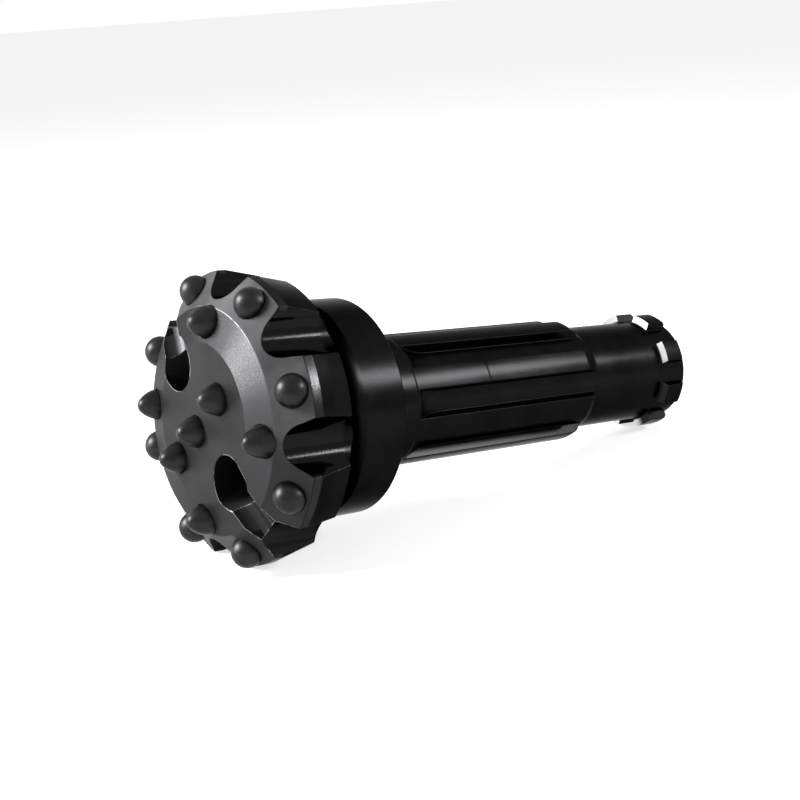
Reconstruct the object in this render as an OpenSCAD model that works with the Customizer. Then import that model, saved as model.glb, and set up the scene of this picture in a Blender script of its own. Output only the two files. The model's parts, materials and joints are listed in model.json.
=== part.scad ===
// Button bit for a down-the-hole rock drill hammer, lying on its side.
// The bit is drawn along its own axis first: z = 0 is the plane through the centres of the
// gauge buttons, the face is below it and the tail is above it. Azimuth 0 is gauge button 1.
// laid_down() then tips it over, so that two lands of the head and one lug of the tail touch
// the ground. In that frame X runs from the face to the tail, Z is up, and the origin is on
// the ground under the middle of the bit.

/* [Head] */
// Diameter of the hole that the bit drills, measured over the gauge buttons
bit_d = 110; // [100:1:130]
// How far the steel stays inside the gauge buttons, on the radius
gauge_relief = 0.2; // [0.1:0.1:1]
// Diameter of the flat in the middle of the face
face_flat_d = 58.8; // [54:0.2:62]
// Slope of the ring round the flat, in degrees
ring_slope = 14.5; // [10:0.5:18]
// Slope of the gauge bevel, in degrees
bevel_slope = 35.5; // [32:0.5:40]
// Width of the bevel inside the circle of gauge buttons, on the radius
bevel_inner_w = 6.9; // [6.4:0.1:8]
// Length of the straight band behind the bevel
gauge_band_l = 3.6; // [2:0.2:6]
// Length of the tapered skirt behind the gauge band
skirt_l = 14; // [12:0.2:22]
// Taper of the skirt on the radius, over its length
skirt_drop = 3; // [2:0.1:5]

/* [Flutes and channels] */
// Depth of a flute below the gauge band
flute_depth = 10; // [8:0.1:11]
// Radius of the bottom of a flute
flute_r = 9; // [7:0.2:10.4]
// Half the angle between the sides of a flute, in degrees
flute_half_angle = 33; // [28:1:36]
// Diameter of the two flushing holes in the face
flush_d = 20; // [16:0.5:21]
// Distance from the axis to the middle of a flushing hole on the face
flush_offset = 27; // [25:0.5:28]
// Diameter of the round bottomed slot from a flushing hole to its flute
slot_d = 14; // [10:0.5:15]
// Slope of a slot away from the face, in degrees
slot_slope = 12.5; // [8:0.5:16]

/* [Buttons] */
// Diameter of every button and of its hole
button_d = 12; // [10:0.2:12.6]
// Length of a button below the steel
button_shank_l = 13; // [10:0.5:15]
// Chamfer on the foot of a button
button_foot = 1; // [0.5:0.1:1.6]
// Height of a face or centre button above the steel
nose_h = 7.8; // [7:0.1:9]
// Radius of the side of a pointed button
nose_side_r = 12; // [10:0.5:16]
// Radius of the tip of a pointed button
nose_tip_r = 3.5; // [2.5:0.1:4]
// Distance from the axis to the four face buttons
face_ring_r = 36.8; // [35:0.2:37.2]
// Distances from the axis to the three centre buttons, the first on the opposite side
centre_offsets = [-14.7, 5.9, 23.5];
// Azimuth of the row of centre buttons, in degrees
centre_azimuth = 247.5; // [240:0.5:255]

/* [Collar and shank] */
// Diameter of the plain collar behind the head
collar_d = 84; // [76:1:90]
// Place of the back of the collar behind the gauge plane
collar_end = 53.6; // [46:0.2:60]
// Radius of the hollow between the head and the collar
throat_r = 14.5; // [10:0.5:28]
// Edge break on the back of the collar
collar_chamfer = 0.6; // [0.3:0.1:2]
// How far the plain guide in front of the splines stands above them, on the radius
guide_step = 0.3; // [0.2:0.1:2]
// Length of the bevel from the guide down to the splines
guide_bevel = 0.6; // [0.3:0.1:1.5]
// Diameter over the splines
spline_d = 52.8; // [45:0.2:66]
// Depth of the grooves between the splines
spline_depth = 4; // [3:0.1:5]
// Width of a spline across its parallel sides
spline_w = 9.2; // [8:0.1:11]
// Azimuth of the middle of one spline, in degrees
spline_azimuth = 38.4; // [30:0.1:52]
// Length of the plain part between the collar and the grooves
spline_lead = 19.4; // [12:0.2:24]
// Length of the splines from the start of the grooves
spline_l = 93; // [80:0.5:120]
// Radius of the cutter that ends each groove
cutter_r = 28; // [20:1:40]
// Radius of the round over at the back end of a spline, and of the hollow at its foot
spline_end_r = 6; // [4:0.5:10]

/* [Neck and tail] */
// How far the neck behind the splines lies below the grooves, on the radius
neck_step = 0.3; // [0.1:0.1:1]
// Length of the neck from the end of the splines to the lugs
neck_l = 41; // [30:0.5:48]
// How far the lugs of the tail stay below the splines, on the radius
lug_drop = 0.5; // [0:0.1:1.4]
// Length of a lug
lug_l = 11; // [7:0.2:14]
// Edge break on the back of the lugs
lug_chamfer = 1.2; // [0.5:0.1:2.5]
// Radius in the corner in front of the lugs
lug_fillet_r = 1.8; // [1:0.1:3]
// Length of the striking end behind the lugs
strike_l = 3.9; // [3:0.1:9]
// Edge break round the striking face
tail_break = 0.8; // [0.4:0.1:1.6]
// Diameter of the seat for the air tube, bored in the striking end
seat_d = 24; // [22:0.5:28]
// Depth of the seat from the striking face
seat_l = 17; // [12:0.5:30]
// Edge break at the mouth of the seat
seat_chamfer = 1; // [0.5:0.1:2]
// Diameter of the blind air bore beyond the seat
bore_d = 19; // [16:0.5:19]
// Place of the closed end of the air bore behind the gauge plane
bore_end = 40; // [36:1:50]

/* [Hidden] */
$fn = 96;
SPLINE_COUNT = 8;
GAUGE_COUNT = 8;
FACE_COUNT = 4;
CENTRE_COUNT = 3;
STEEL = [0.09, 0.09, 0.10];
CARBIDE = [0.20, 0.20, 0.21];

flute_pitch = 360 / GAUGE_COUNT;
// The flushing holes lie on the fourth and the eighth flute
flush_azimuth = 3.5 * flute_pitch;
spline_pitch = 360 / SPLINE_COUNT;
button_r = button_d / 2;
head_r = bit_d / 2 - gauge_relief;
gauge_ring_r = bit_d / 2 - button_r;
flat_r = face_flat_d / 2;
bevel_r = gauge_ring_r - bevel_inner_w;
bevel_z = -bevel_inner_w * tan(bevel_slope);
flat_z = bevel_z - (bevel_r - flat_r) * tan(ring_slope);
band_z = (head_r - gauge_ring_r) * tan(bevel_slope);
band_end_z = band_z + gauge_band_l;
skirt_end_z = band_end_z + skirt_l;
skirt_end_r = head_r - skirt_drop;
collar_r = collar_d / 2;
throat_reach = min(throat_r, skirt_end_r - collar_r);
throat_z = skirt_end_z + sqrt(throat_r * throat_r - pow(throat_r - throat_reach, 2));
spline_r = spline_d / 2;
guide_r = spline_r + guide_step;
floor_r = spline_r - spline_depth;
groove_z = collar_end + spline_lead;
runout_l = sqrt(cutter_r * cutter_r - pow(cutter_r - spline_depth, 2));
spline_end_z = groove_z + spline_l;
neck_r = floor_r - neck_step;
spline_drop = (spline_r - neck_r) / 2;
spline_round_l = sqrt(spline_end_r * spline_end_r - pow(spline_end_r - spline_drop, 2));
neck_z = spline_end_z + 2 * spline_round_l;
lug_z = neck_z + neck_l;
lug_r = spline_r - lug_drop;
lug_end_z = lug_z + lug_l;
tail_z = lug_end_z + strike_l;
flute_floor_r = head_r - flute_depth;
// The flat sides of a flute lie this far from the middle of its round bottom, a faint crease
flute_side_d = 0.985 * flute_r;
flush_r = flush_d / 2;
flush_tilt = atan(flush_offset / (bore_end + flush_r - flat_z));
slot_r = slot_d / 2;

// The notches between the lugs stop this far above the neck
notch_skin = 0.2;
// Cone that the drill leaves at the bottom of a button hole, and the radius of its web
drill_point_l = 1.6;
drill_web_r = 0.4;

// Rest: the lands either side of a flute carry the head, the nearest lug carries the tail
rest_azimuth = flush_azimuth + flute_pitch;
lug_half_deg = asin(spline_w / 2 / lug_r);
lug_turn = min([
    for (i = [0:SPLINE_COUNT - 1])
        max(0, turn_between(spline_azimuth + i * spline_pitch, rest_azimuth) - lug_half_deg)
]);
land_low = head_r * cos(flute_mouth_deg());
lug_low = lug_r * cos(lug_turn);
tilt = atan((land_low - lug_low) / (lug_end_z - lug_chamfer - band_end_z));
rest_h = land_low * cos(tilt) + band_end_z * sin(tilt);
nose_ball_z = ring_z(face_ring_r) - nose_h + nose_tip_r;
nose_low_x = nose_ball_z * cos(tilt) - face_ring_r * sin(tilt) - nose_tip_r;
tail_high_x = tail_z * cos(tilt) + (neck_r - tail_break) * sin(tilt);
middle_x = (nose_low_x + tail_high_x) / 2;

// Half the angle that a flute takes out of the gauge band, found where its side meets it
function flute_mouth_deg() =
    let (apex = flute_floor_r + flute_r - flute_side_d / sin(flute_half_angle))
    flute_half_angle - asin(apex * sin(flute_half_angle) / head_r);

// Angle between two azimuths, never more than half a turn
function turn_between(a, b) =
    let (turn = abs(a - b) % 360)
    min(turn, 360 - turn);

// Height of the ring round the flat at a given radius
function ring_z(r) = bevel_z - (bevel_r - r) * tan(ring_slope);

// Tips the bit from its own axis onto the ground
module laid_down() {
    translate([-middle_x, 0, rest_h])
        rotate([0, 90 + tilt, 0])
            rotate([0, 0, -rest_azimuth])
                children();
}

// Outline of the head from the axis to its skirt
module head_outline() {
    polygon([
        [0, flat_z],
        [flat_r, flat_z],
        [bevel_r, bevel_z],
        [head_r, band_z],
        [head_r, band_end_z],
        [skirt_end_r, skirt_end_z],
        [0, skirt_end_z]
    ]);
}

// Hollow that leads from the back of the head to the collar
module throat_outline() {
    difference() {
        translate([0, skirt_end_z - 2])
            square([collar_r + throat_reach, throat_z - skirt_end_z + 2]);
        translate([collar_r + throat_r, throat_z])
            circle(throat_r);
    }
}

// Outline of the collar and of the plain shank before the splines are cut
module shank_outline() {
    polygon([
        [0, skirt_end_z - 1],
        [collar_r, skirt_end_z - 1],
        [collar_r, collar_end - collar_chamfer],
        [collar_r - collar_chamfer, collar_end],
        [guide_r, collar_end],
        [guide_r, groove_z - 2 * guide_bevel],
        [spline_r, groove_z - guide_bevel],
        [spline_r, spline_end_z],
        [neck_r, spline_end_z],
        [neck_r, lug_z],
        [lug_r, lug_z],
        [lug_r, lug_end_z - lug_chamfer],
        [lug_r - lug_chamfer, lug_end_z],
        [neck_r, lug_end_z],
        [neck_r, tail_z - tail_break],
        [neck_r - tail_break, tail_z],
        [0, tail_z]
    ]);
}

// Back end of the splines: rounded over, then hollowed down to the neck
module spline_end_outline() {
    intersection() {
        translate([neck_r - 1, spline_end_z])
            square([spline_r - neck_r + 1, spline_round_l]);
        translate([spline_r - spline_end_r, spline_end_z])
            circle(spline_end_r);
    }
    difference() {
        translate([neck_r - 1, spline_end_z + spline_round_l])
            square([spline_drop + 1, spline_round_l]);
        translate([neck_r + spline_end_r, neck_z])
            circle(spline_end_r);
    }
}

// Rounded corner in front of the lugs
module lug_corner_outline() {
    difference() {
        translate([neck_r - 1, lug_z - lug_fillet_r])
            square([lug_fillet_r + 1, lug_fillet_r + 1]);
        translate([neck_r + lug_fillet_r, lug_z - lug_fillet_r])
            circle(lug_fillet_r);
    }
}

// The forging as it leaves the lathe
module turned_blank() {
    rotate_extrude()
        union() {
            head_outline();
            throat_outline();
            shank_outline();
            spline_end_outline();
            lug_corner_outline();
        }
}

// One flute, cut the full length of the head
module flute() {
    mouth = head_r + 4;
    centre = flute_floor_r + flute_r;
    side_x = centre - flute_side_d * sin(flute_half_angle);
    side_y = flute_side_d * cos(flute_half_angle);
    mouth_y = side_y + (mouth - side_x) * tan(flute_half_angle);
    translate([0, 0, flat_z - 2])
        linear_extrude(throat_z - flat_z + 4)
            union() {
                translate([centre, 0])
                    circle(flute_r);
                polygon([
                    [side_x, -side_y],
                    [mouth, -mouth_y],
                    [mouth, mouth_y],
                    [side_x, side_y]
                ]);
            }
}

// Flushing hole from the end of the air bore to the face, at azimuth 0
module flushing_hole() {
    translate([flush_offset, 0, flat_z])
        rotate([0, -flush_tilt, 0])
            translate([0, 0, -12])
                cylinder(h = (bore_end + flush_r - flat_z) / cos(flush_tilt) + 12, r = flush_r);
}

// Round bottomed slot from a flushing hole out to its flute, at azimuth 0
module slot() {
    translate([flush_offset + 6, 0, ring_z(flush_offset + 6)])
        rotate([0, 90 - slot_slope, 0])
            translate([0, 0, -4])
                cylinder(h = head_r - flush_offset + 6, r = slot_r);
}

// Section between two splines, swept round the shank
module spline_gaps() {
    difference() {
        circle(spline_r + 6);
        for (i = [0:SPLINE_COUNT / 2 - 1])
            rotate(spline_azimuth + i * spline_pitch)
                square([2 * spline_r + 20, spline_w], center = true);
    }
}

// All the grooves between the splines, with the hollow left by the round cutter
module spline_grooves() {
    intersection() {
        translate([0, 0, groove_z - 2])
            linear_extrude(neck_z - groove_z + 4)
                spline_gaps();
        rotate_extrude()
            union() {
                translate([floor_r, groove_z + runout_l])
                    square([12, neck_z - groove_z - runout_l + 1]);
                intersection() {
                    translate([floor_r + cutter_r, groove_z + runout_l])
                        circle(cutter_r);
                    translate([floor_r, groove_z - 1])
                        square([12, runout_l + 2]);
                }
            }
    }
}

// All the notches between the lugs, in line with the grooves
module lug_notches() {
    difference() {
        translate([0, 0, lug_z - lug_fillet_r - 1])
            linear_extrude(lug_l + lug_fillet_r + 2)
                spline_gaps();
        translate([0, 0, lug_z - lug_fillet_r - 2])
            cylinder(h = lug_l + lug_fillet_r + 4, r = neck_r + notch_skin);
    }
}

// Blind bore for the air along the axis, with the seat of the air tube at its mouth
module air_passage() {
    seat_r = seat_d / 2;
    rotate_extrude()
        polygon([
            [0, bore_end],
            [bore_d / 2, bore_end],
            [bore_d / 2, tail_z - seat_l],
            [seat_r, tail_z - seat_l],
            [seat_r, tail_z - seat_chamfer],
            [seat_r + seat_chamfer + 1, tail_z + 1],
            [0, tail_z + 1]
        ]);
}

// Places its child at every gauge button, with the child's z axis out of the bevel
module at_gauge_button(i) {
    rotate([0, 0, (i - 1) * flute_pitch])
        translate([gauge_ring_r, 0, 0])
            rotate([0, 180 - bevel_slope, 0])
                children();
}

// Places its child at a face button, with the child's z axis out of the face
module at_face_button(i) {
    rotate([0, 0, (i - 1) * 360 / FACE_COUNT + flute_pitch / 2])
        translate([face_ring_r, 0, ring_z(face_ring_r)])
            mirror([0, 0, 1])
                children();
}

// Places its child at a centre button, with the child's z axis out of the face
module at_centre_button(i) {
    rotate([0, 0, centre_azimuth])
        translate([centre_offsets[i - 1], 0, flat_z])
            mirror([0, 0, 1])
                children();
}

// Drilled hole for a button, with its drill point
module button_hole() {
    translate([0, 0, -button_shank_l])
        cylinder(h = button_shank_l + 8, r = button_r);
    translate([0, 0, -button_shank_l - drill_point_l])
        cylinder(h = drill_point_l, r1 = drill_web_r, r2 = button_r);
}

// Gauge button with a half ball on its shank
module round_button() {
    rotate_extrude()
        union() {
            polygon([
                [0, -button_shank_l],
                [button_r - button_foot, -button_shank_l],
                [button_r, -button_shank_l + button_foot],
                [button_r, 0],
                [0, 0]
            ]);
            intersection() {
                circle(button_r);
                square([button_r, button_r]);
            }
        }
}

// Pointed button: an arched nose with a round tip on the same shank
module pointed_button() {
    arc_x = button_r - nose_side_r;
    tip_rise = sqrt(pow(nose_side_r - nose_tip_r, 2) - arc_x * arc_x);
    foot_z = nose_h - nose_tip_r - tip_rise;
    join_z = foot_z + tip_rise * nose_side_r / (nose_side_r - nose_tip_r);
    rotate_extrude()
        union() {
            polygon([
                [0, -button_shank_l],
                [button_r - button_foot, -button_shank_l],
                [button_r, -button_shank_l + button_foot],
                [button_r, foot_z],
                [0, foot_z]
            ]);
            intersection() {
                translate([arc_x, foot_z])
                    circle(nose_side_r);
                translate([0, foot_z])
                    square([button_r, join_z - foot_z]);
            }
            intersection() {
                translate([0, nose_h - nose_tip_r])
                    circle(nose_tip_r);
                translate([0, join_z - 1])
                    square([nose_tip_r, nose_h - join_z + 2]);
            }
        }
}

module bit_body() {
    color(STEEL)
        laid_down()
            difference() {
                turned_blank();
                for (i = [0:GAUGE_COUNT - 1])
                    rotate([0, 0, (i + 0.5) * flute_pitch])
                        flute();
                for (side = [0, 180])
                    rotate([0, 0, flush_azimuth + side]) {
                        flushing_hole();
                        slot();
                    }
                air_passage();
                spline_grooves();
                lug_notches();
                for (i = [1:GAUGE_COUNT])
                    at_gauge_button(i)
                        button_hole();
                for (i = [1:FACE_COUNT])
                    at_face_button(i)
                        button_hole();
                for (i = [1:CENTRE_COUNT])
                    at_centre_button(i)
                        button_hole();
            }
}

module gauge_button(i) {
    color(CARBIDE)
        laid_down()
            at_gauge_button(i)
                round_button();
}

module face_button(i) {
    color(CARBIDE)
        laid_down()
            at_face_button(i)
                pointed_button();
}

module centre_button(i) {
    color(CARBIDE)
        laid_down()
            at_centre_button(i)
                pointed_button();
}

bit_body();
gauge_button(1);  // gauge_button_1
gauge_button(2);  // gauge_button_2
gauge_button(3);  // gauge_button_3
gauge_button(4);  // gauge_button_4
gauge_button(5);  // gauge_button_5
gauge_button(6);  // gauge_button_6
gauge_button(7);  // gauge_button_7
gauge_button(8);  // gauge_button_8
face_button(1);  // face_button_1
face_button(2);  // face_button_2
face_button(3);  // face_button_3
face_button(4);  // face_button_4
centre_button(1);  // centre_button_1
centre_button(2);  // centre_button_2
centre_button(3);  // centre_button_3
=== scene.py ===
import json
import math

import bpy
from mathutils import Matrix, Vector


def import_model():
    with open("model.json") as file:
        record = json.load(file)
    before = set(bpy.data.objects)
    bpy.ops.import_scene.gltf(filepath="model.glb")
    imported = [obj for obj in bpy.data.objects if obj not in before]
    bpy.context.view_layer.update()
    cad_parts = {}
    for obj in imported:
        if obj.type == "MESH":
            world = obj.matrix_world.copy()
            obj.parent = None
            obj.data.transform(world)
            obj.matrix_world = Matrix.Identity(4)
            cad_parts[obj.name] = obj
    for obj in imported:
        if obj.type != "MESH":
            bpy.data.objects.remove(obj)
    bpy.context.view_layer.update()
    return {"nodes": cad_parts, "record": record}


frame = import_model()

# Sizes of the bit along and round its own axis, in metres. Its z is 0 in the plane of the
# gauge buttons, negative towards the face. Azimuths are in degrees from the first gauge button,
# and LUG_LEAN is how many degrees the lugs' fronts lean outwards.
FACE_END_Z = 0.0060
BEVEL_R = 0.0421
BAND_Z, BAND_END_Z = 0.0045, 0.0077
SKIRT_END_Z = 0.0217
THROAT_END_Z = 0.0352
THROAT_R, THROAT_OUT_R = 0.0400, 0.0408
FLUTED_R = 0.0540
COLLAR_END_Z = 0.0536
LUG_Z = 0.2162
LUG_FRONT_R, LUG_FRONT_OUT_R = 0.0225, 0.0231
LUG_LEAN = 29.0
FLUSH_AZIMUTH = 157.5
FLUSH_FROM_R, FLUSH_TO_R = 0.0170, 0.0445
FLUSH_HALF_WIDTH = 0.0110
FLUSH_END_Z, FLUSH_FADE = 0.0450, 0.0050
REST_AZIMUTH = 202.5

# Lengths over which one surface's look runs into the next, in metres
FINE = 0.0005
SOFT = 0.0010

MM_PER_M = 1000

# The photograph's camera: where it stands, how it looks at the bit, and its lens
CAMERA_AT = Vector((-0.35813, -0.43799, 0.19898))
CAMERA_AZIMUTH = -37.355
CAMERA_ELEVATION = 15.809
CAMERA_ROLL = -4.029
LENS_MM = 64.02
SENSOR_MM = 36.0
CLIP_START = 0.01

# The studio: what the lamps aim at and how far off they stand, how much of the floor's white
# is its own, and how bright the surround is as light
LAMPS_AIM_AT = Vector((0, 0, 0.06))
LAMP_DISTANCE = 1.3
FLOOR_SIZE = 60.0
FLOOR_GREY = 0.6
FLOOR_ROUGH = 0.9
FLOOR_GLOW = 0.66
WORLD_FILL = 0.40

# Greys as reflectance. A pair is the darker and the paler side of a mottle.
COAT_GREY = (0.0060, 0.0085)
# The throat's grey is painted shade: the hollow between the head and the collar is darkened
THROAT_SHADE_GREY = 0.0065
BAND_GREY = 0.022
CHANNEL_GREY = 0.020
FLUTE_GREY = 0.010
FACE_GREY = (0.006, 0.012)
BEVEL_GREY = (0.052, 0.076)
# Painted shade on the bevel's lower part
BEVEL_LOW_SHADE_GREY = 0.026
# The ring's pair is its grain's mottle, paler within a range of azimuth as painted highlight; its
# far grey is the ring outside that highlight
RING_GREY = (0.032, 0.074)
RING_FAR_GREY = 0.035
# The lugs' fronts: bright bare metal as painted highlight, and dark on the lower ones as painted
# shade
LUG_FRONT_HIGHLIGHT_GREY = 0.75
LUG_SHADE_GREY = 0.02
MARK_GREY = 0.0003
# A painted highlight on the gauge band, broken up by grain
BAND_HIGHLIGHT_GREY = 0.08
# Paler edges: wear and painted highlight on the slots' rims, painted highlight on the bevel's rim
WORN_AND_HIGHLIGHT_GREY = 0.28
BUTTON_GREY = (0.020, 0.028)
BLUE_SHARE = 1.04

# Roughness, in pairs as the greys are
COAT_ROUGH = (0.20, 0.26)
FLUTE_ROUGH = 0.13
FACE_ROUGH = (0.38, 0.48)
RING_ROUGH = (0.34, 0.44)
BUTTON_ROUGH = (0.35, 0.41)

# How metallic the face's surfaces are, how much of a grazing reflection each metal keeps, and
# the specular level of the face's dull coat, which is no metal
RING_METAL = 0.85
BEVEL_METAL = 0.5
COAT_SHEEN = 0.50
# The throat's smaller grazing reflection is painted shade too
THROAT_SHADE_SHEEN = 0.28
BUTTON_SHEEN = 0.80
FACE_SPECULAR = 0.11

# How squarely a surface faces the drilled rock, 1 straight towards it. Two numbers are where
# a look is 0 and where it is full, three are its start, its end and their softness.
FACE_FACING = (0.6, 0.7)
RING_FACING = (0.955, 0.98, 0.003)
BEVEL_FACING = (0.93, 0.88)
SIDE_FACING = (0.3, 0.2)
FLUTE_FACING = (0.1, 0.05)
CHANNEL_FACING = (0.7, 0.6)
LUG_FACING = (0.75, 0.8)

# Where the coat differs round the bit, in degrees of azimuth, as two or three numbers again.
# These are painted highlight and painted shade.
# Painted shade on the bevel: darker over one range of azimuth and on its lower part
BEVEL_SHADE_AZIMUTH = (34.0, 80.0, 8.0)
BEVEL_SHADE_SHARE = 0.55
BEVEL_LOW_SHADE_AZIMUTH = (105.0, 125.0)
# Painted highlight on the ring over a range of azimuth, rising in from a lower share and fading
# past its end
RING_HIGHLIGHT = (-25.0, 84.0, 7.0)
RING_HIGHLIGHT_RISE = (42.0, 64.0)
RING_HIGHLIGHT_RISE_FROM = 0.42
# The painted highlight on the gauge band, where the right lamp's reflection lies
BAND_HIGHLIGHT = (88.0, 95.0, 4.0)
# Painted shade on the lower lugs' fronts
LUG_SHADE_AZIMUTH = (95.0, 178.0, 5.0)

# The bevel's rim, paler as a painted highlight: its half width in metres, its place in azimuth,
# its strength
RIM_HIGHLIGHT_HALF_WIDTH = 0.00015
RIM_HIGHLIGHT_AZIMUTH = (8.0, 58.0, 8.0)
RIM_HIGHLIGHT_SHARE = 0.3

# The dark line across one spline: its ends in azimuth, its sides along the bit where the
# azimuth is 0, each with their softness, and how far it slants along the bit in a degree
MARK = (75.5, 91.5, 0.8)
MARK_Z = (0.10700, 0.10780, 0.0002)
MARK_SLANT = -0.00003

# Noise as scale, detail and roughness. The lathe's changes only along the bit.
CLOUDS = (55.0, 5.0, 0.6)
PATCHES = (210.0, 3.0, 0.6)
PEEL = (900.0, 2.0, 0.45)
LATHE = (2400.0, 2.0, 0.6)
GRAIN = (2600.0, 2.0, 0.5)
BUTTON_CLOUDS = (160.0, 4.0, 0.6)
BUTTON_GRAIN = (3000.0, 2.0, 0.5)

# Which values of a noise give one side of a mottle, or no wear, and which the other
MOTTLE = (0.3, 0.7)
COAT_ROUGH_MOTTLE = (0.25, 0.75)
RING_MOTTLE = (0.35, 0.7)
# The gauge band's painted highlight shows where the grain is high
BAND_HIGHLIGHT_GRAIN = (0.35, 0.6)
SLOT_PATCHES = (0.40, 0.54)
RIM_HIGHLIGHT_PATCHES = (0.35, 0.55)

# Relief as height in metres and strength. Off the ring the grain has a share of its height.
PEEL_RELIEF = (0.00003, 0.5)
LATHE_RELIEF = (0.00001, 0.35)
LATHE_FADE = 0.0040
GRAIN_RELIEF = (0.00004, 0.45)
GRAIN_SHARE = 0.25
BUTTON_RELIEF = (0.00002, 0.35)

# The edges' rounding in metres, how far its normal turns from the flat one where an edge
# begins and where it is full, as a cosine, and how far down the slots the edges are paler,
# partly from wear and partly as painted highlight
EDGE_R = 0.0006
EDGE_SAMPLES = 8
EDGE_TURN = (0.995, 0.90)
SLOT_EDGE_END_Z = 0.0050


def bit_frame():
    """Matrix from the bit's own axes to the row frame, read from the shank guide's mount."""
    mount = next(m for m in frame["record"]["mounts"] if m["name"] == "shank_guide")
    along = Vector(mount["axis"]).normalized()
    across = along.cross(Vector((0, 0, 1))).normalized()
    down = along.cross(across).normalized()
    if down.z > 0:
        down = -down
    side = along.cross(down)
    turn = math.radians(REST_AZIMUTH)
    x = down * math.cos(turn) - side * math.sin(turn)
    y = down * math.sin(turn) + side * math.cos(turn)
    middle = COLLAR_END_Z + mount["dims"]["length_mm"] / (2 * MM_PER_M)
    matrix = Matrix((x, y, along)).transposed().to_4x4()
    matrix.translation = Vector(mount["pos_m"]) - along * middle
    return matrix


BIT = bit_frame()
ALONG = BIT.to_3x3() @ Vector((0, 0, 1))


class Shader:
    """Short names for building one node material."""

    def __init__(self, name):
        self.material = bpy.data.materials.new(name)
        self.material.use_nodes = True
        self.nodes = self.material.node_tree.nodes
        self.links = self.material.node_tree.links
        self.surface = self.nodes["Principled BSDF"]

    def node(self, kind, inputs=None, **settings):
        made = self.nodes.new(kind)
        for key, value in settings.items():
            setattr(made, key, value)
        for key, value in (inputs or {}).items():
            self.put(made.inputs[key], value)
        return made

    def put(self, socket, value):
        if isinstance(value, bpy.types.NodeSocket):
            self.links.new(value, socket)
        else:
            socket.default_value = value

    def set(self, name, value):
        """Gives one input of the surface its value."""
        self.put(self.surface.inputs[name], value)

    def math(self, operation, a, b=0.0):
        return self.node("ShaderNodeMath", {0: a, 1: b}, operation=operation).outputs[0]

    def step(self, value, low, high):
        """0 below low, 1 above high and a smooth slope between, either way round."""
        inputs = {"Value": value, "From Min": low, "From Max": high}
        made = self.node("ShaderNodeMapRange", inputs, interpolation_type="SMOOTHSTEP")
        return made.outputs["Result"]

    def band(self, value, low, high, soft):
        """1 between low and high, with soft ends."""
        rise = self.step(value, low - soft, low + soft)
        fall = self.step(value, high + soft, high - soft)
        return self.both(rise, fall)

    def both(self, *masks):
        """The product of masks and numbers."""
        out = masks[0]
        for mask in masks[1:]:
            out = self.math("MULTIPLY", out, mask)
        return out

    def mix(self, factor, a, b):
        """Blends two numbers, which are the node's sockets 2 and 3."""
        made = self.node("ShaderNodeMix", data_type="FLOAT")
        self.put(made.inputs[0], factor)
        self.put(made.inputs[2], a)
        self.put(made.inputs[3], b)
        return made.outputs[0]

    def mix_vector(self, factor, a, b):
        """Blends two vectors, which are the node's sockets 4 and 5."""
        made = self.node("ShaderNodeMix", data_type="VECTOR")
        self.put(made.inputs[0], factor)
        self.put(made.inputs[4], a)
        self.put(made.inputs[5], b)
        return made.outputs[1]

    def mottle(self, noise, pair, values=MOTTLE):
        """One number of the pair where the noise is low and the other where it is high."""
        return self.mix(self.step(noise, *values), *pair)

    def grey(self, tone):
        """A grey of this tone, very slightly blue, as the surface's colour."""
        self.set("Base Color", self.vector(tone, tone, self.math("MULTIPLY", tone, BLUE_SHARE)))

    def vector(self, x, y, z):
        return self.node("ShaderNodeCombineXYZ", {0: x, 1: y, 2: z}).outputs[0]

    def arrow(self, operation, a, b=(0.0, 0.0, 0.0), scale=1.0):
        """Vector arithmetic with a vector as its result."""
        inputs = {0: a, 1: b, 3: scale}
        return self.node("ShaderNodeVectorMath", inputs, operation=operation).outputs["Vector"]

    def dot(self, a, b):
        inputs = {0: a, 1: b}
        made = self.node("ShaderNodeVectorMath", inputs, operation="DOT_PRODUCT")
        return made.outputs["Value"]

    def noise(self, vector, scale, detail, roughness):
        inputs = {"Vector": vector, "Scale": scale, "Detail": detail, "Roughness": roughness}
        return self.node("ShaderNodeTexNoise", inputs).outputs["Fac"]

    def bump(self, height, distance, strength, normal=None):
        inputs = {"Height": height, "Distance": distance, "Strength": strength}
        if normal is not None:
            inputs["Normal"] = normal
        return self.node("ShaderNodeBump", inputs).outputs["Normal"]

    def rounded(self):
        """The normal as if every sharp edge were slightly rounded."""
        return self.node("ShaderNodeBevel", {"Radius": EDGE_R}, samples=EDGE_SAMPLES).outputs[0]

    def edges(self):
        """1 along sharp edges: how far the rounded normal turns from the flat one."""
        flat = self.node("ShaderNodeNewGeometry").outputs["Normal"]
        return self.step(self.dot(self.rounded(), flat), *EDGE_TURN)

    def bit_point(self):
        """The point in the bit's own axes."""
        inverse = BIT.inverted()
        inputs = {"Vector": self.node("ShaderNodeTexCoord").outputs["Object"],
                  "Rotation": inverse.to_euler(), "Location": inverse.translation}
        return self.node("ShaderNodeMapping", inputs, vector_type="POINT").outputs[0]

    def leaning_out(self, degrees, z):
        """A normal that points to the head and leans outwards from the bit's axis."""
        place = self.node("ShaderNodeTexCoord").outputs["Object"]
        foot = self.arrow("ADD", self.arrow("SCALE", ALONG, scale=z), BIT.translation)
        outwards = self.arrow("NORMALIZE", self.arrow("SUBTRACT", place, foot))
        lean = math.radians(degrees)
        aside = self.arrow("SCALE", outwards, scale=math.sin(lean))
        return self.arrow("ADD", aside, ALONG * -math.cos(lean))


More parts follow.
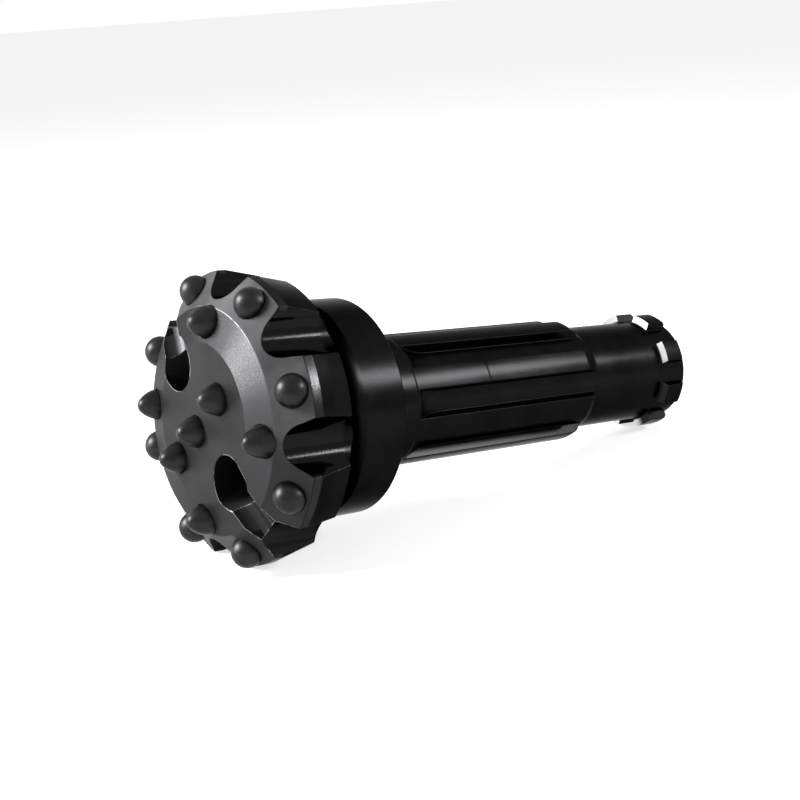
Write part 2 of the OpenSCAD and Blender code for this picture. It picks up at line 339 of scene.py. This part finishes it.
class Place:
    """Where a point is on the bit, and how squarely its surface faces the drilled rock."""

    def __init__(self, s):
        self.point = s.bit_point()
        x, y, self.z = s.node("ShaderNodeSeparateXYZ", {0: self.point}).outputs
        square = s.math("ADD", s.math("MULTIPLY", x, x), s.math("MULTIPLY", y, y))
        self.radius = s.math("SQRT", square)
        self.azimuth = s.math("DEGREES", s.math("ARCTAN2", y, x))
        flat = s.node("ShaderNodeNewGeometry").outputs["True Normal"]
        self.forward = s.dot(flat, -ALONG)


class Masks:
    """Where each kind of surface is on the body: 1 there and 0 elsewhere."""

    def __init__(self, s, at):
        front = s.step(at.z, FACE_END_Z + FINE, FACE_END_Z - FINE)
        self.face = s.both(s.step(at.forward, *FACE_FACING), front)
        self.ring = s.both(s.band(at.forward, *RING_FACING), front)
        self.bevel = s.both(s.step(at.forward, *BEVEL_FACING), self.face)
        edge = s.band(at.radius, BEVEL_R - RIM_HIGHLIGHT_HALF_WIDTH, BEVEL_R + RIM_HIGHLIGHT_HALF_WIDTH,
                      RIM_HIGHLIGHT_HALF_WIDTH)
        # The bevel's rim over part of its azimuth, lightened as painted highlight
        self.rim = s.both(edge, front, s.band(at.azimuth, *RIM_HIGHLIGHT_AZIMUTH))
        self.band = s.both(s.band(at.z, BAND_Z, BAND_END_Z, FINE),
                           s.step(at.forward, *SIDE_FACING))
        self.flute = s.both(s.step(at.z, SKIRT_END_Z + 2 * SOFT, SKIRT_END_Z),
                            s.step(at.radius, FLUTED_R, FLUTED_R - SOFT),
                            s.step(at.forward, *FLUTE_FACING))
        # The throat, the hollow behind the head, which is darkened as painted shade
        self.throat = s.both(s.band(at.z, SKIRT_END_Z, THROAT_END_Z, SOFT),
                             s.step(at.radius, THROAT_R, THROAT_R + SOFT))
        past_skirt = s.both(s.step(at.z, SKIRT_END_Z - SOFT, SKIRT_END_Z),
                            s.step(at.radius, THROAT_R, THROAT_OUT_R))
        self.channel = s.both(s.step(at.radius, FLUSH_TO_R, FLUSH_TO_R - SOFT),
                              s.step(at.z, FLUSH_END_Z, FLUSH_END_Z - FLUSH_FADE),
                              s.step(at.forward, *CHANNEL_FACING),
                              s.math("SUBTRACT", 1.0, past_skirt))
        self.lug_front = s.both(s.step(at.forward, *LUG_FACING),
                                s.step(at.z, LUG_Z - SOFT, LUG_Z),
                                s.step(at.radius, LUG_FRONT_R, LUG_FRONT_OUT_R))


def spline_mark(s, at):
    """The thin dark line across one spline."""
    along = s.math("ADD", at.z, s.math("MULTIPLY", at.azimuth, MARK_SLANT))
    return s.both(s.band(along, *MARK_Z), s.band(at.azimuth, *MARK))


def worn_and_highlighted_edges(s, at, mask, patchy):
    """Paler metal along the rims of the flushing slots, partly wear and partly painted highlight,
    and, fainter, a painted highlight along the bevel's rim.
    """
    turned = s.math("RADIANS", s.math("SUBTRACT", at.azimuth, FLUSH_AZIMUTH))
    aside = s.math("ABSOLUTE", s.math("MULTIPLY", at.radius, s.math("SINE", turned)))
    by_slot = s.both(s.step(aside, FLUSH_HALF_WIDTH, FLUSH_HALF_WIDTH - SOFT),
                     s.step(at.radius, FLUSH_FROM_R, FLUSH_FROM_R + SOFT))
    slots = s.both(s.edges(), by_slot, s.step(patchy, *SLOT_PATCHES),
                   s.step(at.z, SLOT_EDGE_END_Z, SLOT_EDGE_END_Z - 2 * SOFT))
    return s.math("MAXIMUM", slots, s.both(mask.rim, s.step(patchy, *RIM_HIGHLIGHT_PATCHES), RIM_HIGHLIGHT_SHARE))


def steel_tone(s, at, mask, cloudy, patchy, grain):
    """The body's grey: black coat, paler on the face, with painted shade in the throat, on the
    bevel and on the lower lugs' fronts, and painted highlights on the ring, the gauge band, the
    other lugs' bright fronts and the edges, which are partly worn.
    """
    tone = s.mottle(cloudy, COAT_GREY)
    # Painted shade: the throat's hollow is darkened
    tone = s.mix(mask.throat, tone, THROAT_SHADE_GREY)
    tone = s.mix(mask.band, tone, BAND_GREY)
    tone = s.mix(mask.channel, tone, CHANNEL_GREY)
    tone = s.mix(mask.flute, tone, FLUTE_GREY)
    tone = s.mix(mask.face, tone, s.mottle(cloudy, FACE_GREY))
    # Painted shade on the bevel at two ranges of azimuth
    painted_shade = s.mix(s.band(at.azimuth, *BEVEL_SHADE_AZIMUTH), 1.0, BEVEL_SHADE_SHARE)
    bevel = s.math("MULTIPLY", s.mottle(cloudy, BEVEL_GREY), painted_shade)
    tone = s.mix(mask.bevel, tone, s.mix(s.step(at.azimuth, *BEVEL_LOW_SHADE_AZIMUTH), bevel, BEVEL_LOW_SHADE_GREY))
    # Painted highlight on the ring over part of its azimuth
    highlight_rise = s.mix(s.step(at.azimuth, *RING_HIGHLIGHT_RISE), RING_HIGHLIGHT_RISE_FROM, 1.0)
    ring = s.math("MULTIPLY", s.mottle(grain, RING_GREY, RING_MOTTLE), highlight_rise)
    ring = s.mix(s.band(at.azimuth, *RING_HIGHLIGHT), RING_FAR_GREY, ring)
    tone = s.mix(mask.ring, tone, ring)
    # Lugs' fronts: bright metal as painted highlight, dark as painted shade on the lower ones
    lug = s.mix(s.band(at.azimuth, *LUG_SHADE_AZIMUTH), LUG_FRONT_HIGHLIGHT_GREY, LUG_SHADE_GREY)
    tone = s.mix(mask.lug_front, tone, lug)
    tone = s.mix(spline_mark(s, at), tone, MARK_GREY)
    # Painted highlight: a grainy pale strip on the gauge band at one azimuth
    band_highlight = s.both(mask.band, s.band(at.azimuth, *BAND_HIGHLIGHT), s.step(grain, *BAND_HIGHLIGHT_GRAIN))
    tone = s.mix(band_highlight, tone, BAND_HIGHLIGHT_GREY)
    # Paler edges: partly wear, partly painted highlight
    return s.mix(worn_and_highlighted_edges(s, at, mask, patchy), tone, WORN_AND_HIGHLIGHT_GREY)


def steel_normal(s, at, mask, grain):
    """The body's relief: paint peel, fine lathe rings behind the head and grain on the ring."""
    peel = s.noise(at.point, *PEEL)
    lathe = s.noise(s.vector(0.0, 0.0, at.z), *LATHE)
    turned = s.step(at.z, SKIRT_END_Z, SKIRT_END_Z + LATHE_FADE)
    normal = s.bump(peel, *PEEL_RELIEF, s.rounded())
    normal = s.bump(s.both(lathe, turned), *LATHE_RELIEF, normal)
    normal = s.bump(s.both(grain, s.mix(mask.ring, GRAIN_SHARE, 1.0)), *GRAIN_RELIEF, normal)
    return s.mix_vector(mask.lug_front, normal, s.leaning_out(LUG_LEAN, at.z))


def black_steel():
    """Satin black paint over machined steel, dull on the face; its grey holds painted highlight
    and painted shade, and its edges are partly worn.
    """
    s = Shader("black_steel")
    at = Place(s)
    mask = Masks(s, at)
    cloudy = s.noise(at.point, *CLOUDS)
    patchy = s.noise(at.point, *PATCHES)
    grain = s.noise(at.point, *GRAIN)
    s.grey(steel_tone(s, at, mask, cloudy, patchy, grain))

    # A very dark metal stands for the glossy coat: it mirrors little head on and most of what
    # meets it at a grazing angle. The face and the flushing slots are dull instead.
    dull = s.math("MAXIMUM", mask.face, mask.channel)
    bare = s.math("MAXIMUM", s.both(mask.ring, RING_METAL), s.both(mask.bevel, BEVEL_METAL))
    s.set("Metallic", s.mix(dull, 1.0, bare))
    # Painted shade: the throat reflects less at a grazing angle
    sheen = s.mix(mask.throat, COAT_SHEEN, THROAT_SHADE_SHEEN)
    s.set("Specular Tint", s.vector(sheen, sheen, sheen))
    s.set("Specular IOR Level", FACE_SPECULAR)

    rough = s.mottle(cloudy, COAT_ROUGH, COAT_ROUGH_MOTTLE)
    rough = s.mix(mask.flute, rough, FLUTE_ROUGH)
    rough = s.mix(mask.face, rough, s.mottle(patchy, FACE_ROUGH))
    rough = s.mix(mask.ring, rough, s.mottle(grain, RING_ROUGH))
    s.set("Roughness", rough)
    s.set("Normal", steel_normal(s, at, mask, grain))
    return s.material


def hard_metal():
    """Dark glossy buttons: ground hard metal under the same black coat."""
    s = Shader("hard_metal")
    point = s.bit_point()
    cloudy = s.noise(point, *BUTTON_CLOUDS)
    grain = s.noise(point, *BUTTON_GRAIN)
    s.grey(s.mottle(cloudy, BUTTON_GREY))
    s.set("Roughness", s.mottle(cloudy, BUTTON_ROUGH))
    s.set("Metallic", 1.0)
    s.set("Specular Tint", (BUTTON_SHEEN, BUTTON_SHEEN, BUTTON_SHEEN, 1))
    s.set("Normal", s.bump(grain, *BUTTON_RELIEF))
    return s.material


def paint_nodes():
    """Gives every CAD node its material."""
    steel, metal = black_steel(), hard_metal()
    for name, node in frame["nodes"].items():
        node.data.materials.clear()
        node.data.materials.append(steel if name == "bit_body" else metal)


def seen_directly(nodes, links):
    """1 for camera, glossy and transmission rays, 0 for the light that falls on things."""
    path = nodes.new("ShaderNodeLightPath")
    seen = path.outputs["Is Camera Ray"]
    for ray in ("Is Glossy Ray", "Is Transmission Ray"):
        either = nodes.new("ShaderNodeMath")
        either.operation = "MAXIMUM"
        links.new(seen, either.inputs[0])
        links.new(path.outputs[ray], either.inputs[1])
        seen = either.outputs[0]
    return seen


def floor():
    """Pale floor that looks white, with the bit's soft shadow left on it."""
    bpy.ops.mesh.primitive_plane_add(size=FLOOR_SIZE, location=(0, 0, 0))
    made = bpy.context.object
    made.name = "floor"
    material = bpy.data.materials.new("floor")
    material.use_nodes = True
    nodes, links = material.node_tree.nodes, material.node_tree.links
    surface = nodes["Principled BSDF"]
    surface.inputs["Base Color"].default_value = (FLOOR_GREY, FLOOR_GREY, FLOOR_GREY, 1)
    surface.inputs["Roughness"].default_value = FLOOR_ROUGH
    surface.inputs["Specular IOR Level"].default_value = 0.0
    surface.inputs["Emission Color"].default_value = (1, 1, 1, 1)
    glow = nodes.new("ShaderNodeMath")
    glow.operation = "MULTIPLY"
    links.new(seen_directly(nodes, links), glow.inputs[0])
    glow.inputs[1].default_value = FLOOR_GLOW
    links.new(glow.outputs[0], surface.inputs["Emission Strength"])
    made.data.materials.append(material)


def world():
    """A white surround to the camera and in reflections, and a soft fill as light."""
    surround = bpy.data.worlds.new("studio")
    bpy.context.scene.world = surround
    surround.use_nodes = True
    nodes, links = surround.node_tree.nodes, surround.node_tree.links
    strength = nodes.new("ShaderNodeMapRange")
    strength.inputs["To Min"].default_value = WORLD_FILL
    strength.inputs["To Max"].default_value = 1.0
    links.new(seen_directly(nodes, links), strength.inputs["Value"])
    background = nodes["Background"]
    background.inputs["Color"].default_value = (1, 1, 1, 1)
    links.new(strength.outputs["Result"], background.inputs["Strength"])


def camera():
    """The photograph's camera."""
    made = bpy.data.objects.new("camera", bpy.data.cameras.new("camera"))
    bpy.context.scene.collection.objects.link(made)
    azimuth, elevation = math.radians(CAMERA_AZIMUTH), math.radians(CAMERA_ELEVATION)
    back = Vector((math.sin(azimuth) * math.cos(elevation),
                   -math.cos(azimuth) * math.cos(elevation),
                   math.sin(elevation)))
    turn = (-back).to_track_quat("-Z", "Y").to_matrix().to_4x4()
    made.matrix_world = (Matrix.Translation(CAMERA_AT) @ turn
                         @ Matrix.Rotation(math.radians(CAMERA_ROLL), 4, "Z"))
    made.data.lens = LENS_MM
    made.data.sensor_width = SENSOR_MM
    made.data.clip_start = CLIP_START
    bpy.context.scene.camera = made
    return made


def softbox(name, seen_by, aim, width, height, radiance):
    """Soft rectangular lamp. aim is the way to it in the camera's own axes: right, up, back."""
    lamp = bpy.data.lights.new(name, "AREA")
    lamp.shape = "RECTANGLE"
    lamp.size, lamp.size_y = width, height
    lamp.energy = radiance * math.pi * width * height
    made = bpy.data.objects.new(name, lamp)
    bpy.context.scene.collection.objects.link(made)
    made.visible_camera = False
    way = seen_by.matrix_world.to_3x3() @ Vector(aim).normalized()
    made.location = LAMPS_AIM_AT + way * LAMP_DISTANCE
    made.rotation_euler = way.to_track_quat("Z", "Y").to_euler()


def lights(seen_by):
    """Two soft lamps to the left, which the face and buttons reflect, and one to the right."""
    softbox("box_left", seen_by, (-0.80, 0.31, 0.12), width=0.52, height=0.42, radiance=58.0)
    softbox("box_low", seen_by, (-0.985, 0.06, 0.06), width=0.26, height=0.26, radiance=18.0)
    softbox("strip_right", seen_by, (0.88, 0.46, 0.18), width=0.42, height=0.22, radiance=40.0)


bpy.context.scene.view_settings.view_transform = "Standard"
paint_nodes()
floor()
world()
lights(camera())
